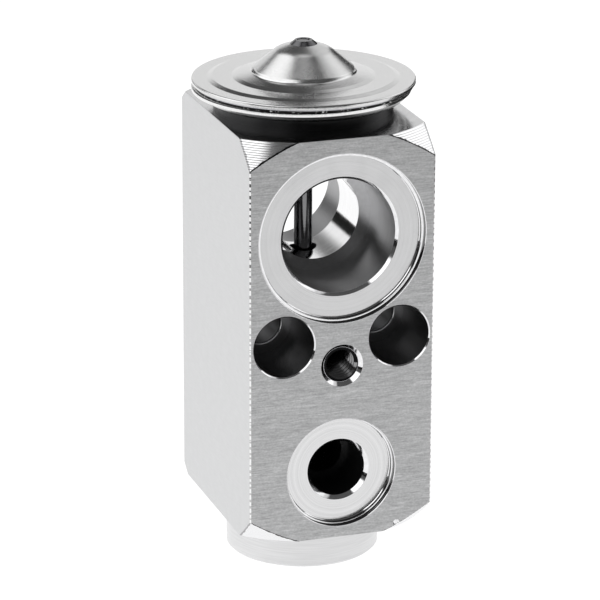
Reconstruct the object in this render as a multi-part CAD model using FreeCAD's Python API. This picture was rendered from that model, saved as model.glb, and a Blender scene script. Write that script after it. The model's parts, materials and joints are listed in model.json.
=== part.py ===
import FreeCAD, Part

import math
import os

from FreeCAD import Vector

# Block-type thermostatic expansion valve for a vehicle air conditioner.
# Millimetres, +Z up. The origin is on the valve axis, at the underside of the round spigot
# below the block. The face with the screw holes and the flange thread looks along -Y.
# Refrigerant vapour crosses the upper passage. Liquid enters the small port in front,
# passes the ball in the lower chamber and leaves by the small port at the back.

Z_AXIS = Vector(0, 0, 1)
INTO_FRONT = Vector(0, 1, 0)
INTO_BACK = Vector(0, -1, 0)
OVERCUT = 1.0            # how far a cutting tool starts outside the metal

# Block
block_width = 32.0
block_depth = 37.6
block_height = 69.2
axis_to_front = 20.55    # from the valve axis to the front face
spigot_radius = 13.0
spigot_height = 8.3
spigot_chamfer = 0.4
corner_turn_top = 21.9   # radius of the turned cone in the plane of the top face
corner_turn_bottom = 21.75
corner_turn_angle = 43.5  # between the cone's side and the valve axis, in degrees

block_bottom = spigot_height
block_top = block_bottom + block_height
front_face = -axis_to_front
back_face = block_depth - axis_to_front

# Large suction passage, a sealing port at each end
suction_height = 60.5
suction_recess_radius = 14.4
suction_recess_chamfer = 0.5
suction_recess_depth = 1.5
suction_bore_radius = 9.75
suction_bore_chamfer = 0.45
suction_bore_depth_front = 14.0
suction_bore_depth_back = 13.8
suction_web_radius = 7.6

# Small ports: liquid in at the front, feed to the evaporator at the back
liquid_height = 19.75
feed_height = 32.0
small_recess_radius = 9.45
small_recess_chamfer = 0.3
small_recess_depth = 1.7
small_bore_radius = 4.8
small_bore_chamfer = 0.6
small_bore_depth = 10.5
liquid_gallery_radius = 3.6
feed_gallery_radius = 3.5
feed_gallery_past_axis = 2.4

# Clamping screw holes and the thread for the pipe flange stud
screw_offset = 10.0
screw_height = 42.8
screw_counterbore_radius = 5.2
screw_counterbore_depth = 12.5
screw_edge_break = 0.15
screw_hole_radius = 3.3
flange_thread_height = 38.65
flange_thread_radius = 2.5        # core of an M6 thread
flange_thread_sink_radius = 3.7
flange_thread_depth = 13.0
drill_point_angle = 118.0

# Head thread bore in the top of the block
neck_bore_radius = 10.0
neck_bore_depth = 5.6
head_opening_radius = 5.5
head_seal_groove_radius = 11.7
head_seal_groove_depth = 1.5

# Bores round the rod and below it
rod_bore_radius = 1.62
rod_seal_bore_radius = 2.3
rod_seal_bore_depth = 3.4         # below the floor of the suction web
tip_bore_radius = 1.9
chamber_radius = 7.0
chamber_top = 25.2
screw_bore_radius = 8.0           # core of the adjusting thread
screw_bore_depth = 8.6
screw_bore_mouth_chamfer = 0.5

# Orifice ring, pressed in above the chamber
seat_ring_radius = 3.2
seat_ring_height = 1.8
orifice_radius = 1.6
seat_land = 0.4                   # width and height of the 45 degree seat

# Head: cover and dish are stampings, welded at the rim with the diaphragm between them.
# Their radii add up from the filling hole outwards.
rim_bulge = 0.42                  # round edge outside the weld
rim_overlap = 0.1                 # how far the rolled rim reaches into its sheet
dish_sheet = 0.95
dish_floor_height = 1.7           # underside of the dish above the block
dish_rim_land = 0.5               # flat under the weld
dish_wall_width = 2.65            # sloping wall between the flat and the floor
rim_underside_height = 3.3        # above the block
dish_hole_radius = 9.6
dish_floor_fillet = 1.4
dish_rim_fillet = 0.4
diaphragm_sheet = 0.2
diaphragm_clamped_width = 2.25    # flat between the outer wave and the weld
diaphragm_wave_depth = 0.35
diaphragm_wave_pitch = 1.8
diaphragm_waves = 2
diaphragm_land_fillet = 0.3
diaphragm_wave_fillet = 0.6
cover_sheet = 0.75
cover_rim_land = 2.6              # from the weld to the middle of the outer step
cover_outer_land = 4.15           # between the middles of the two steps
cover_inner_land = 2.8            # from the inner step to the foot of the dome
cover_step_rise = 0.28
cover_step_width = 0.9
cover_step_fillet = 1.5
dome_foot_width = 0.2             # short steep wall under the cone
dome_foot_rise = 0.75
dome_foot_fillet = 0.25
cone_width = 3.45
cone_rise = 3.3
cone_base_fillet = 0.3
cone_top_fillet = 1.0
crown_width = 3.05
crown_rise_per_mm = 0.36          # slope of the flatter crown above the cone
crown_hole_radius = 2.0
plug_base_radius = 3.2
plug_top_radius = 1.45
plug_rise = 1.0
plug_stem_radius = 1.9
plug_stem_length = 1.4            # below the edge of its head

# Threaded collar that carries the dish
collar_shoulder_radius = 13.0
neck_radius = 9.9
neck_length = 5.2
neck_chamfer = 0.5
collar_bore_radius = 6.9
collar_spigot_fit = 0.05

# Plate, rod and ball
plate_clear_of_waves = 0.9
plate_thickness = 0.6
plate_edge_round = 0.2
hub_radius = 5.0
hub_length = 4.6
rod_radius = 1.55
rod_socket_depth = 3.2
rod_shoulder_above_feed = 0.7     # lower end of the full rod above the feed gallery
rod_taper = 0.6
tip_radius = 0.9
ball_radius = 2.5
ball_seat_gap = 0.03

# Rod seal stack
seal_fit = 0.03                   # gap between a seal and what slides in it
seal_round_share = 0.4            # edge radius of a seal as a share of its thinner side
rod_seal_height = 0.75
seal_washer_height = 0.5
push_nut_sheet = 0.25
push_nut_teeth = 6
push_nut_rise = 0.55
push_nut_slot_width = 0.5
push_nut_bore_fit = 0.05
seal_stack_fit = 0.02

# Ball carrier and its springs
ball_cone_radius = 2.25           # mouth of the conical cup
ball_cone_floor_radius = 0.9
carrier_collar_radius = 2.95
carrier_flange_radius = 4.4
carrier_flange_thickness = 1.0
carrier_collar_height = 1.4       # above the flange
carrier_stem_radius = 2.5
carrier_stem_length = 2.6
carrier_chamfer = 0.3
damper_sheet = 0.3
damper_ring_radius = 4.5
damper_legs = 4
damper_leg_width = 1.6
damper_leg_drop = 2.2
damper_wall_gap = 0.12
spring_wire_radius = 0.45
spring_mean_radius = 3.7
spring_pitch = 1.9

# Adjusting screw
adjuster_recess = 1.0             # bottom of the screw inside the spigot
adjuster_thread_radius = 7.92
adjuster_thread_length = 6.4
adjuster_head_radius = 6.93
adjuster_height = 12.2
adjuster_seal_groove_radius = 5.7
adjuster_seal_groove_top = 0.9    # land above the groove
adjuster_seal_height = 1.9
adjuster_cup_radius = 4.6
adjuster_cup_depth = 4.2
adjuster_chamfer = 0.5
socket_across_flats = 5.0
socket_depth = 4.0

cone_top_radius = crown_hole_radius + crown_width
cone_base_radius = cone_top_radius + cone_width
dome_foot_radius = cone_base_radius + dome_foot_width
cover_inner_step_radius = dome_foot_radius + cover_inner_land
cover_outer_step_radius = cover_inner_step_radius + cover_outer_land
weld_radius = cover_outer_step_radius + cover_rim_land
rim_radius = weld_radius + rim_bulge
dish_wall_radius = weld_radius - dish_rim_land
dish_floor_radius = dish_wall_radius - dish_wall_width
diaphragm_flat_radius = weld_radius - diaphragm_clamped_width - diaphragm_waves * diaphragm_wave_pitch
plate_radius = diaphragm_flat_radius - plate_clear_of_waves

web_floor = suction_height - suction_web_radius
rod_seal_floor = web_floor - rod_seal_bore_depth
seat_edge = chamber_top + seat_land
ball_height = seat_edge + orifice_radius - math.sqrt(2) * (ball_radius + ball_seat_gap)
collar_top = block_top + dish_floor_height
rim_underside = block_top + rim_underside_height
diaphragm_underside = rim_underside + dish_sheet
cover_underside = diaphragm_underside + diaphragm_sheet
cover_rim_top = cover_underside + cover_sheet
spring_floor = adjuster_recess + adjuster_height - adjuster_cup_depth


def turned(profile):
    """Solid of revolution about Z from a closed outline of (radius, height) points."""
    points = [Vector(radius, 0, height) for radius, height in profile]
    outline = Part.makePolygon(points + points[:1])
    return Part.Face(outline).revolve(Vector(0, 0, 0), Z_AXIS, 360)


def aimed(solid, place, direction):
    """The solid moved so that its Z axis runs from place along direction."""
    moved = solid.copy()
    moved.Placement = FreeCAD.Placement(place, FreeCAD.Rotation(Z_AXIS, direction))
    return moved


def cylinder(radius, low, high):
    return Part.makeCylinder(radius, high - low, Vector(0, 0, low))


def rounded_path(corners):
    """Open wire through (radius, height, fillet) corners in the XZ plane, fillets as arcs."""
    edges = []
    start = Vector(corners[0][0], 0, corners[0][1])
    for before, corner, after in zip(corners, corners[1:], corners[2:]):
        tip = Vector(corner[0], 0, corner[1])
        back = Vector(before[0], 0, before[1]).sub(tip).normalize()
        ahead = Vector(after[0], 0, after[1]).sub(tip).normalize()
        half = back.getAngle(ahead) / 2
        reach = corner[2] / math.tan(half)
        middle = (back + ahead).normalize() * (corner[2] / math.sin(half) - corner[2])
        first = tip + back * reach
        last = tip + ahead * reach
        edges.append(Part.makeLine(start, first))
        edges.append(Part.Arc(first, tip + middle, last).toShape())
        start = last
    edges.append(Part.makeLine(start, Vector(corners[-1][0], 0, corners[-1][1])))
    return Part.Wire(edges)


def stamping(corners, sheet):
    """Turned sheet of even thickness below an outer line that starts at the rim."""
    path = rounded_path(corners)
    section = path.makeOffset2D(sheet, 0, True, True, False)
    return section.revolve(Vector(0, 0, 0), Z_AXIS, 360).Solids[0]


def seal_ring(inner, outer, low, high):
    """Rubber ring squeezed between walls: a ring of rounded rectangular section."""
    ring = cylinder(outer, low, high).cut(cylinder(inner, low, high))
    rims = [edge for edge in ring.Edges if len(edge.Vertexes) == 1]
    return ring.makeFillet(seal_round_share * min(outer - inner, high - low), rims)


def sealing_port(recess_radius, recess_chamfer, recess_depth, bore_radius, bore_chamfer, bore_depth):
    """Cutter for a port: spot-faced recess with a bore, measured down from the face."""
    wall = recess_radius - recess_chamfer
    mouth = bore_radius + bore_chamfer
    return turned([
        (0, -OVERCUT),
        (recess_radius, -OVERCUT),
        (recess_radius, 0),
        (wall, recess_chamfer),
        (wall, recess_depth),
        (mouth, recess_depth),
        (bore_radius, recess_depth + bore_chamfer),
        (bore_radius, bore_depth),
        (0, bore_depth),
    ])


def turned_corner_envelope():
    """Round body whose cones cut the block's eight corners."""
    reach = block_width + block_depth
    slope = math.tan(math.radians(corner_turn_angle))
    bottom_cone = block_bottom + (reach - corner_turn_bottom) / slope
    top_cone = block_top - (reach - corner_turn_top) / slope
    meeting = (bottom_cone + top_cone) / 2
    middle = corner_turn_top + (block_top - meeting) * slope
    return turned([
        (0, block_bottom),
        (corner_turn_bottom, block_bottom),
        (middle, meeting),
        (corner_turn_top, block_top),
        (0, block_top),
    ])


def screw_hole():
    """Cutter for a clamping screw: counterbore from the front, clearance hole to the back."""
    return turned([
        (0, -OVERCUT),
        (screw_counterbore_radius + screw_edge_break, -OVERCUT),
        (screw_counterbore_radius + screw_edge_break, 0),
        (screw_counterbore_radius, screw_edge_break),
        (screw_counterbore_radius, screw_counterbore_depth),
        (screw_hole_radius, screw_counterbore_depth),
        (screw_hole_radius, block_depth + OVERCUT),
        (0, block_depth + OVERCUT),
    ])


def flange_thread_hole():
    """Cutter for the blind flange thread, countersunk, with a drill point."""
    sink_depth = flange_thread_sink_radius - flange_thread_radius
    point = flange_thread_radius / math.tan(math.radians(drill_point_angle / 2))
    return turned([
        (0, -OVERCUT),
        (flange_thread_sink_radius, -OVERCUT),
        (flange_thread_sink_radius, 0),
        (flange_thread_radius, sink_depth),
        (flange_thread_radius, flange_thread_depth),
        (0, flange_thread_depth + point),
    ])


def valve_axis_bores():
    """Cutter for everything that is bored along the valve axis, bottom to top."""
    lead_in = screw_bore_radius - chamber_radius
    return turned([
        (0, -OVERCUT),
        (screw_bore_radius + screw_bore_mouth_chamfer, -OVERCUT),
        (screw_bore_radius + screw_bore_mouth_chamfer, 0),
        (screw_bore_radius, screw_bore_mouth_chamfer),
        (screw_bore_radius, screw_bore_depth),
        (chamber_radius, screw_bore_depth + lead_in),
        (chamber_radius, chamber_top),
        (seat_ring_radius, chamber_top),
        (seat_ring_radius, chamber_top + seat_ring_height),
        (tip_bore_radius, chamber_top + seat_ring_height),
        (tip_bore_radius, feed_height),
        (rod_bore_radius, feed_height),
        (rod_bore_radius, rod_seal_floor),
        (rod_seal_bore_radius, rod_seal_floor),
        (rod_seal_bore_radius, suction_height),
        (head_opening_radius, suction_height),
        (head_opening_radius, block_top - neck_bore_depth),
        (neck_bore_radius, block_top - neck_bore_depth),
        (neck_bore_radius, block_top - head_seal_groove_depth),
        (head_seal_groove_radius, block_top - head_seal_groove_depth),
        (head_seal_groove_radius, block_top + OVERCUT),
        (0, block_top + OVERCUT),
    ])


def valve_block():
    corner = Vector(-block_width / 2, front_face, block_bottom)
    bar = Part.makeBox(block_width, block_depth, block_height, corner)
    spigot = turned([
        (0, 0),
        (spigot_radius - spigot_chamfer, 0),
        (spigot_radius, spigot_chamfer),
        (spigot_radius, block_bottom + OVERCUT),
        (0, block_bottom + OVERCUT),
    ])
    body = bar.common(turned_corner_envelope()).fuse(spigot).removeSplitter()

    front_suction = sealing_port(suction_recess_radius, suction_recess_chamfer, suction_recess_depth,
                                 suction_bore_radius, suction_bore_chamfer, suction_bore_depth_front)
    back_suction = sealing_port(suction_recess_radius, suction_recess_chamfer, suction_recess_depth,
                                suction_bore_radius, suction_bore_chamfer, suction_bore_depth_back)
    small_port = sealing_port(small_recess_radius, small_recess_chamfer, small_recess_depth,
                              small_bore_radius, small_bore_chamfer, small_bore_depth)
    front_at = {height: Vector(0, front_face, height)
                for height in (suction_height, liquid_height, flange_thread_height)}
    back_at = {height: Vector(0, back_face, height) for height in (suction_height, feed_height)}
    tools = [
        aimed(front_suction, front_at[suction_height], INTO_FRONT),
        aimed(back_suction, back_at[suction_height], INTO_BACK),
        Part.makeCylinder(suction_web_radius, block_depth, front_at[suction_height], INTO_FRONT),
        aimed(small_port, front_at[liquid_height], INTO_FRONT),
        Part.makeCylinder(liquid_gallery_radius, axis_to_front, front_at[liquid_height], INTO_FRONT),
        aimed(small_port, back_at[feed_height], INTO_BACK),
        Part.makeCylinder(feed_gallery_radius, back_face + feed_gallery_past_axis,
                          back_at[feed_height], INTO_BACK),
        aimed(flange_thread_hole(), front_at[flange_thread_height], INTO_FRONT),
        valve_axis_bores(),
    ]
    for side in (-1, 1):
        place = Vector(side * screw_offset, front_face, screw_height)
        tools.append(aimed(screw_hole(), place, INTO_FRONT))
    return body.cut(tools).Solids[0]


def cover_line():
    """Outer line of the cover from the rim up to the filling hole, with its fillets."""
    half_step = cover_step_width / 2
    outer_land = cover_rim_top + cover_step_rise
    inner_land = outer_land + cover_step_rise
    cone_base = inner_land + dome_foot_rise
    cone_top = cone_base + cone_rise
    crown_top = cone_top + (cone_top_radius - crown_hole_radius) * crown_rise_per_mm
    return [
        (weld_radius - rim_overlap, cover_rim_top, 0),
        (cover_outer_step_radius + half_step, cover_rim_top, cover_step_fillet),
        (cover_outer_step_radius - half_step, outer_land, cover_step_fillet),
        (cover_inner_step_radius + half_step, outer_land, cover_step_fillet),
        (cover_inner_step_radius - half_step, inner_land, cover_step_fillet),
        (dome_foot_radius, inner_land, dome_foot_fillet),
        (cone_base_radius, cone_base, cone_base_fillet),
        (cone_top_radius, cone_top, cone_top_fillet),
        (crown_hole_radius, crown_top, 0),
    ]


def crown_height(radius):
    """Height of the crown's outer surface at a radius."""
    hole_radius, crown_top, _ = cover_line()[-1]
    return crown_top - (radius - hole_radius) * crown_rise_per_mm


def rim_roll(low, high):
    """Ring with a rounded outer edge that closes the rim of a stamping."""
    inner = weld_radius - rim_overlap
    edges = [
        Part.makeLine(Vector(inner, 0, low), Vector(weld_radius, 0, low)),
        Part.Arc(Vector(weld_radius, 0, low), Vector(rim_radius, 0, (low + high) / 2),
                 Vector(weld_radius, 0, high)).toShape(),
        Part.makeLine(Vector(weld_radius, 0, high), Vector(inner, 0, high)),
        Part.makeLine(Vector(inner, 0, high), Vector(inner, 0, low)),
    ]
    return Part.Face(Part.Wire(edges)).revolve(Vector(0, 0, 0), Z_AXIS, 360)


def upper_cover():
    sheet = stamping(cover_line(), cover_sheet).fuse(rim_roll(cover_underside, cover_rim_top))
    filling_hole = cylinder(crown_hole_radius, cover_underside, crown_height(0))
    return sheet.cut(filling_hole).removeSplitter().Solids[0]


def charge_plug():
    base = crown_height(plug_base_radius)
    return turned([
        (0, base - plug_stem_length),
        (plug_stem_radius, base - plug_stem_length),
        (plug_stem_radius, crown_height(plug_stem_radius)),
        (plug_base_radius, base),
        (plug_top_radius, base + plug_rise),
        (0, base + plug_rise),
    ])


def diaphragm():
    """Thin disc with round waves between its flat middle and the clamped rim."""
    top = cover_underside
    corners = [(weld_radius, top, 0)]
    for wave in reversed(range(diaphragm_waves)):
        outer = diaphragm_flat_radius + (wave + 1) * diaphragm_wave_pitch
        corners.append((outer, top, diaphragm_land_fillet))
        corners.append((outer - diaphragm_wave_pitch / 2, top - diaphragm_wave_depth,
                        diaphragm_wave_fillet))
    corners.append((diaphragm_flat_radius, top, diaphragm_land_fillet))
    corners.append((0, top, 0))
    return stamping(corners, diaphragm_sheet)


def lower_housing():
    """Dish with a flat floor and a sloping wall up to the rim."""
    inner_floor = collar_top + dish_sheet
    inner_rim = rim_underside + dish_sheet
    corners = [
        (weld_radius - rim_overlap, inner_rim, 0),
        (dish_wall_radius, inner_rim, dish_rim_fillet),
        (dish_floor_radius, inner_floor, dish_floor_fillet),
        (dish_hole_radius, inner_floor, 0),
    ]
    sheet = stamping(corners, dish_sheet)
    return sheet.fuse(rim_roll(rim_underside, diaphragm_underside)).removeSplitter().Solids[0]


def threaded_collar():
    spigot = dish_hole_radius - collar_spigot_fit
    return turned([
        (collar_bore_radius, block_top - neck_length),
        (neck_radius - neck_chamfer, block_top - neck_length),
        (neck_radius, block_top - neck_length + neck_chamfer),
        (neck_radius, block_top),
        (collar_shoulder_radius, block_top),
        (collar_shoulder_radius, collar_top),
        (spigot, collar_top),
        (spigot, collar_top + dish_sheet),
        (collar_bore_radius, collar_top + dish_sheet),
    ])


def head_seal_ring():
    return seal_ring(neck_radius, head_seal_groove_radius, block_top - head_seal_groove_depth, block_top)


def diaphragm_plate():
    underside = diaphragm_underside - plate_thickness
    hub_bottom = underside - hub_length
    plate = cylinder(plate_radius, underside, diaphragm_underside)
    rims = [edge for edge in plate.Edges if len(edge.Vertexes) == 1]
    plate = plate.makeFillet(plate_edge_round, rims)
    hub = cylinder(hub_radius, hub_bottom, underside + plate_thickness / 2)
    socket = cylinder(rod_radius, hub_bottom - OVERCUT, hub_bottom + rod_socket_depth)
    return plate.fuse(hub).cut(socket).removeSplitter().Solids[0]


def push_rod():
    top = diaphragm_underside - plate_thickness - hub_length + rod_socket_depth
    shoulder = feed_height + feed_gallery_radius + rod_shoulder_above_feed
    return turned([
        (0, ball_height + ball_radius),
        (tip_radius, ball_height + ball_radius),
        (tip_radius, shoulder - rod_taper),
        (rod_radius, shoulder),
        (rod_radius, top),
        (0, top),
    ])


def rod_seal_ring():
    return seal_ring(rod_radius + seal_fit, rod_seal_bore_radius,
                     rod_seal_floor, rod_seal_floor + rod_seal_height)


def seal_washer():
    low = rod_seal_floor + rod_seal_height
    return turned([
        (rod_bore_radius, low),
        (rod_seal_bore_radius - seal_stack_fit, low),
        (rod_seal_bore_radius - seal_stack_fit, low + seal_washer_height),
        (rod_bore_radius, low + seal_washer_height),
    ])


def seal_retainer():
    """Push-on nut: a flat ring whose slotted teeth lean up towards the rod."""
    low = rod_seal_floor + rod_seal_height + seal_washer_height
    inner = rod_radius + push_nut_bore_fit
    outer = rod_seal_bore_radius - seal_stack_fit
    flat = (inner + outer) / 2
    nut = turned([
        (flat, low),
        (outer, low),
        (outer, low + push_nut_sheet),
        (flat, low + push_nut_sheet),
        (inner, low + push_nut_sheet + push_nut_rise),
        (inner, low + push_nut_rise),
    ])
    slot = Part.makeBox(outer, push_nut_slot_width, push_nut_rise + 2 * OVERCUT,
                        Vector(0, -push_nut_slot_width / 2, low + push_nut_sheet))
    for tooth in range(push_nut_teeth):
        nut = nut.cut(slot.rotated(Vector(0, 0, 0), Z_AXIS, 360 * tooth / push_nut_teeth))
    return nut.Solids[0]


def seat_ring():
    return turned([
        (orifice_radius + seat_land, chamber_top),
        (seat_ring_radius, chamber_top),
        (seat_ring_radius, chamber_top + seat_ring_height),
        (orifice_radius, chamber_top + seat_ring_height),
        (orifice_radius, seat_edge),
    ])


def valve_ball():
    return Part.makeSphere(ball_radius, Vector(0, 0, ball_height))


def cup_floor():
    """Height of the cup's floor, so that its 45 degree cone touches the ball."""
    return ball_height - math.sqrt(2) * ball_radius + ball_cone_floor_radius


def carrier_flange_top():
    cup_mouth = cup_floor() + ball_cone_radius - ball_cone_floor_radius
    return cup_mouth - carrier_collar_height


def ball_carrier():
    flange_top = carrier_flange_top()
    flange_bottom = flange_top - carrier_flange_thickness
    stem_bottom = flange_bottom - carrier_stem_length
    return turned([
        (0, stem_bottom),
        (carrier_stem_radius - carrier_chamfer, stem_bottom),
        (carrier_stem_radius, stem_bottom + carrier_chamfer),
        (carrier_stem_radius, flange_bottom),
        (carrier_flange_radius, flange_bottom),
        (carrier_flange_radius, flange_top),
        (carrier_collar_radius, flange_top),
        (carrier_collar_radius, flange_top + carrier_collar_height),
        (ball_cone_radius, flange_top + carrier_collar_height),
        (ball_cone_floor_radius, cup_floor()),
        (0, cup_floor()),
    ])


def damping_spring():
    """Sheet ring on the carrier's flange, with bent legs that reach the chamber wall."""
    low = carrier_flange_top()
    high = low + damper_sheet
    reach = chamber_radius - damper_wall_gap
    ring = cylinder(damper_ring_radius, low, high).cut(
        cylinder(carrier_collar_radius, low, high))
    knee = reach - damper_sheet
    foot = low - damper_leg_drop
    outline = [
        (damper_ring_radius - damper_sheet, low),
        (damper_ring_radius - damper_sheet, high),
        (knee, high),
        (reach, high - damper_sheet),
        (knee, foot),
        (knee - damper_sheet, foot),
        (knee, low),
    ]
    points = [Vector(x, -damper_leg_width / 2, z) for x, z in outline]
    leg = Part.Face(Part.makePolygon(points + points[:1])).extrude(Vector(0, damper_leg_width, 0))
    leg = leg.common(cylinder(reach, foot, high))
    for number in range(damper_legs):
        angle = 360 * (number + 0.5) / damper_legs
        ring = ring.fuse(leg.rotated(Vector(0, 0, 0), Z_AXIS, angle))
    return ring.removeSplitter().Solids[0]


def bias_spring():
    """Coil with flat ground ends between the screw's cup and the carrier's flange."""
    top = carrier_flange_top() - carrier_flange_thickness
    start = spring_floor - spring_wire_radius / 2
    height = top - spring_floor + spring_wire_radius
    coil = Part.Wire(Part.makeHelix(spring_pitch, height, spring_mean_radius).Edges)
    wire = Part.Wire(Part.makeCircle(spring_wire_radius, Vector(spring_mean_radius, 0, 0), Vector(0, 1, 0)))
    spring = coil.makePipeShell([wire], True, True)
    spring.translate(Vector(0, 0, start))
    ground = cylinder(spring_mean_radius + spring_pitch, spring_floor, top)
    return spring.common(ground).Solids[0]


def adjusting_screw():
    low = adjuster_recess
    high = low + adjuster_height
    groove_top = high - adjuster_seal_groove_top
    groove_bottom = groove_top - adjuster_seal_height
    body = turned([
        (0, low),
        (adjuster_thread_radius - adjuster_chamfer, low),
        (adjuster_thread_radius, low + adjuster_chamfer),
        (adjuster_thread_radius, low + adjuster_thread_length),
        (adjuster_head_radius, low + adjuster_thread_length),
        (adjuster_head_radius, groove_bottom),
        (adjuster_seal_groove_radius, groove_bottom),
        (adjuster_seal_groove_radius, groove_top),
        (adjuster_head_radius, groove_top),
        (adjuster_head_radius, high),
        (adjuster_cup_radius, high),
        (adjuster_cup_radius, spring_floor),
        (0, spring_floor),
    ])
    corner_radius = socket_across_flats / math.sqrt(3)
    corners = [Vector(corner_radius * math.cos(math.radians(60 * side)),
                      corner_radius * math.sin(math.radians(60 * side)), low - OVERCUT)
               for side in range(6)]
    socket = Part.Face(Part.makePolygon(corners + corners[:1]))
    return body.cut(socket.extrude(Vector(0, 0, OVERCUT + socket_depth))).Solids[0]


def adjuster_seal_ring():
    groove_top = adjuster_recess + adjuster_height - adjuster_seal_groove_top
    return seal_ring(adjuster_seal_groove_radius + seal_fit, chamber_radius - seal_fit,
                     groove_top - adjuster_seal_height + seal_fit, groove_top - seal_fit)


PARTS = [
    valve_block, upper_cover, charge_plug, diaphragm, lower_housing, threaded_collar,
    head_seal_ring, diaphragm_plate, push_rod, rod_seal_ring, seal_washer, seal_retainer,
    seat_ring, valve_ball, ball_carrier, damping_spring, bias_spring, adjusting_screw,
    adjuster_seal_ring,
]

os.makedirs("parts", exist_ok=True)
for make in PARTS:
    solid = make()
    solid.exportStep("parts/" + make.__name__ + ".step")
    box = solid.BoundBox
    print(f"{make.__name__:20s} valid {solid.isValid()} volume {solid.Volume:10.2f} "
          f"z {box.ZMin:7.2f} to {box.ZMax:7.2f} x {box.XMin:7.2f} to {box.XMax:7.2f}")
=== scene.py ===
import json
import math
import random

import bpy
from mathutils import Matrix, Vector


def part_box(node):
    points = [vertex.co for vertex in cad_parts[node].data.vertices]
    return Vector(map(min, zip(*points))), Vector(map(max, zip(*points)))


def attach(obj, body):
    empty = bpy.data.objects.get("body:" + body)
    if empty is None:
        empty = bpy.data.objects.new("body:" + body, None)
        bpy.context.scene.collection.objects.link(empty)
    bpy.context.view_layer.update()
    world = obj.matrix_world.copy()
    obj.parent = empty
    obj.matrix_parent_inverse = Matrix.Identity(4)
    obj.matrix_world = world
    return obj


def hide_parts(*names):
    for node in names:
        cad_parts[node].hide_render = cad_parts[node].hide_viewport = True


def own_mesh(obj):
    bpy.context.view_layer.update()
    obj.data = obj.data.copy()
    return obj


# A block expansion valve as it looks: milled and turned aluminium block, stamped steel head.
# Pieces are modelled in millimetres and brought to the frame's metres when they are finished.
# The valve axis is Z, the face with the screw holes looks along -Y.

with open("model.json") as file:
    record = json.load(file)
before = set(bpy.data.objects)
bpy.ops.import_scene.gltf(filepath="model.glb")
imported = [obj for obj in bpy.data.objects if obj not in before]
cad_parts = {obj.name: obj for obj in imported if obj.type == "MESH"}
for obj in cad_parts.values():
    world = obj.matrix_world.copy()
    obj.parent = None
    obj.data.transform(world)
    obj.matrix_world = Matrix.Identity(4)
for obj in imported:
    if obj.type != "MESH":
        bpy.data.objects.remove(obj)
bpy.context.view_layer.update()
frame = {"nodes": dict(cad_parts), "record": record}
record = frame["record"]
mounts = {mount["name"]: mount for mount in record["mounts"]}

random.seed(11)

TO_MM = 1000.0
FULL_TURN = 2 * math.pi
OVERCUT = 1.0                    # how far a cutting tool starts outside the metal
HAIR = 0.01                      # faces are found this much beside their exact place
SAME_PLACE = 0.0005              # corners that lie closer than this are one


def node_box(node):
    """Lowest and highest corner of a CAD node, in millimetres."""
    low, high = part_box(node)
    return low * TO_MM, high * TO_MM


def mount_place(name):
    return Vector(mounts[name]["pos_m"]) * TO_MM


def mount_size(name, key):
    return mounts[name]["dims"][key]


block_low, block_high = node_box("valve_block")
cover_top = node_box("upper_cover")[1].z
dish_low, dish_high = node_box("lower_housing")
collar_radius = node_box("threaded_collar")[1].x
spring_low, spring_high = node_box("bias_spring")

# Block
front_face = block_low.y
back_face = block_high.y
half_width = 16.0
block_top = block_high.z
spigot_radius = mount_size("spigot", "r_mm")
spigot_height = 8.3
spigot_chamfer = 0.4
spigot_flare = 0.3               # where it meets the block
corner_turn_top = 21.9
corner_turn_bottom = 21.75
corner_turn_angle = math.radians(43.5)
corner_reach = 26.4              # just outside the block's vertical edges
notch_shade_pitch = 1.05                # painted shade of the burr's notches, drawn as dark ticks
notch_shade_fade = 14.0                 # they fade out this far below the large port's axis
groove_pitch = 0.43
groove_depth = 0.035
edge_break = 0.06
burr_width = 0.3                 # rough chamfer on the two upright front edges

# Ports
suction_height = mount_place("suction_outlet").z
liquid_height = mount_place("liquid_inlet").z
feed_height = mount_place("evaporator_feed").z
suction_recess = (14.4, 0.5, 1.5)     # radius, chamfer, depth
suction_bore = (mount_size("suction_outlet", "r_mm"), 0.45, 14.0)
suction_bore_depth_back = 13.8
suction_web_radius = 7.6
small_recess = (9.45, 0.3, 1.7)
small_bore = (mount_size("liquid_inlet", "r_mm"), 0.6, 10.5)
liquid_gallery_radius = 3.6
feed_gallery_radius = 3.5
feed_gallery_past_axis = 2.4
rod_hole_radius = 2.3
recess_steps = 2                      # the wall of a recess is turned in this many steps
edge_round = 0.12                     # at every edge of a recess

# Screw holes, flange thread and the small dent in the front face
screw_seat = mount_place("right_screw_seat")
screw_seat_radius = mount_size("right_screw_seat", "r_mm")
screw_seat_margin = 0.15              # the mount stops this far above the seat
screw_seat_depth = mount_size("right_screw_seat", "length_mm") + screw_seat_margin
screw_seat_break = 0.2
screw_hole_break = 0.35
screw_hole_radius = mount_size("evaporator_screws", "hole_r_mm")
thread_height = mount_place("flange_thread").z
thread_core = mount_size("flange_thread", "r_mm")
thread_crest = 3.0
thread_pitch = 1.0
thread_sink = 3.65                    # radius of its countersink
thread_lead_in = 0.8                  # depth at which the core begins
thread_lead_cone = 0.2
thread_depth = 13.0
thread_turns = 10
thread_overlap = 0.05                 # how far the groove's tool reaches into the hole
drill_point_angle = math.radians(59)
nick_place = (9.8, 9.6)
nick_line = [(0.6, 0.05), (0.35, 0.3), (0, 0.35)]     # radius and depth

# Bore for the adjusting screw
chamber_radius = 7.0
chamber_top = 25.2
screw_bore_radius = 8.0
screw_bore_depth = 8.6
screw_bore_chamfer = 0.5

# Seat of the head in the block: radius and depth
neck_bore = (10.0, 5.6)
head_opening_radius = 5.5
head_groove = (11.7, 1.5)

# Cover of the head
rim_radius = 18.67
cover_rim_top = 82.7
cover_sheet = 0.5
cover_edge = 0.62                     # its outer edge turns down this far
cover_nose = 0.25
cover_steps = [(16.1, 15.2), (11.95, 11.05)]     # radii of the foot and the top of each step
cover_step_rise = 0.28
cover_step_fillet = 0.6
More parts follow.
